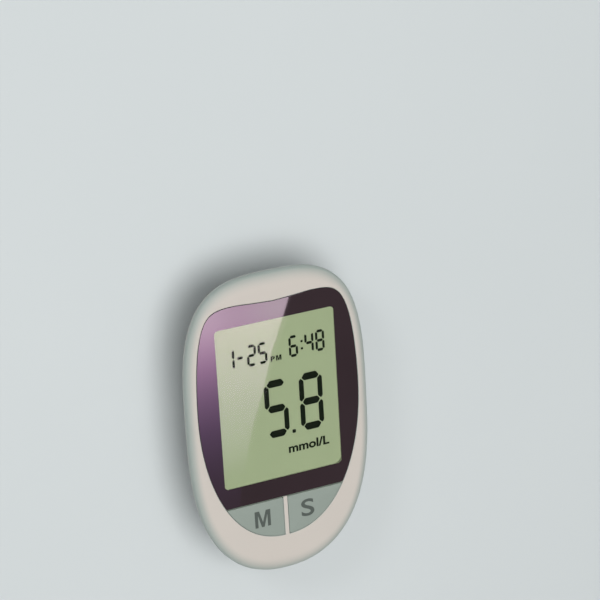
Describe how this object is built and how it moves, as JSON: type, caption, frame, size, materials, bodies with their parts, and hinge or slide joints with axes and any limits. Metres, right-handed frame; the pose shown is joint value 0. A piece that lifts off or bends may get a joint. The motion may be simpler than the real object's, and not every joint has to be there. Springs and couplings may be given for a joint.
{
  "type": "blood glucose meter",
  "caption": "Hand-held blood glucose meter: egg-shaped white case, dark display lens, grey keys that press, a test-strip port and a battery door that slides off.",
  "frame": {"origin": "middle of the case's outline, on the plane that its back rests on", "axes": "+X right across the meter, +Y along it towards the strip port, +Z from the back out of the face"},
  "size_m": [0.06, 0.097, 0.021],
  "materials": {
    "case_white": "satin moulded white plastic",
    "lens_print": "glossy lens, dark aubergine print behind it, clear window",
    "key_grey": "satin grey-green plastic",
    "rubber": "pale silicone rubber",
    "display_glass": "display glass",
    "reflector_film": "matt reflector film",
    "inner_plastic": "natural moulded plastic",
    "zebra_rubber": "striped conductive rubber",
    "board_green": "green solder resist",
    "chip_black": "black moulded plastic",
    "steel": "bright plated steel",
    "contact_gold": "gold-plated spring leaf",
    "cell_wrap": "printed wrap over a metal can",
    "label_film": "bare silver-grey film"
  },
  "bodies": {
    "case": {"front_case": "case_white", "rear_case": "case_white", "display_lens": "lens_print", "lens_tape": "chip_black", "rubber_sheet": "rubber", "left_dome": "rubber", "right_dome": "rubber", "lcd_front_glass": "display_glass", "lcd_rear_glass": "display_glass", "lcd_reflector": "reflector_film", "lcd_frame": "inner_plastic", "zebra_strip": "zebra_rubber", "main_board": "board_green", "controller_chip": "chip_black", "amplifier_chip": "chip_black", "crystal_can": "steel", "beeper": "chip_black", "supply_capacitor": "chip_black", "strip_socket": "inner_plastic", "strip_contact_1": "contact_gold", "strip_contact_2": "contact_gold", "strip_contact_3": "contact_gold", "strip_contact_4": "contact_gold", "port_collar": "key_grey", "battery_cell_1": "cell_wrap", "battery_cell_2": "cell_wrap", "battery_bridge": "steel", "battery_negative": "steel", "battery_positive": "steel", "case_screw_1": "steel", "case_screw_2": "steel", "case_screw_3": "steel", "case_screw_4": "steel", "board_screw_1": "steel", "board_screw_2": "steel", "board_screw_3": "steel", "back_label": "label_film"},
    "left_key": {"left_key": "key_grey", "left_plunger": "rubber"},
    "right_key": {"right_key": "key_grey", "right_plunger": "rubber"},
    "battery_door": {"battery_door": "case_white"}
  },
  "joints": [
    {"name": "left_key_press", "type": "slide", "parent": "case", "child": "left_key", "axis": [0, 0, -1], "range_m": [0, 0.0008], "stiffness_N_per_m": 500, "deforming": ["left_dome"]},
    {"name": "right_key_press", "type": "slide", "parent": "case", "child": "right_key", "axis": [0, 0, -1], "range_m": [0, 0.0008], "stiffness_N_per_m": 500, "deforming": ["right_dome"]},
    {"name": "battery_door_slide", "type": "slide", "parent": "case", "child": "battery_door", "axis": [0, -1, 0], "range_m": [0, 0.058]}
  ]
}
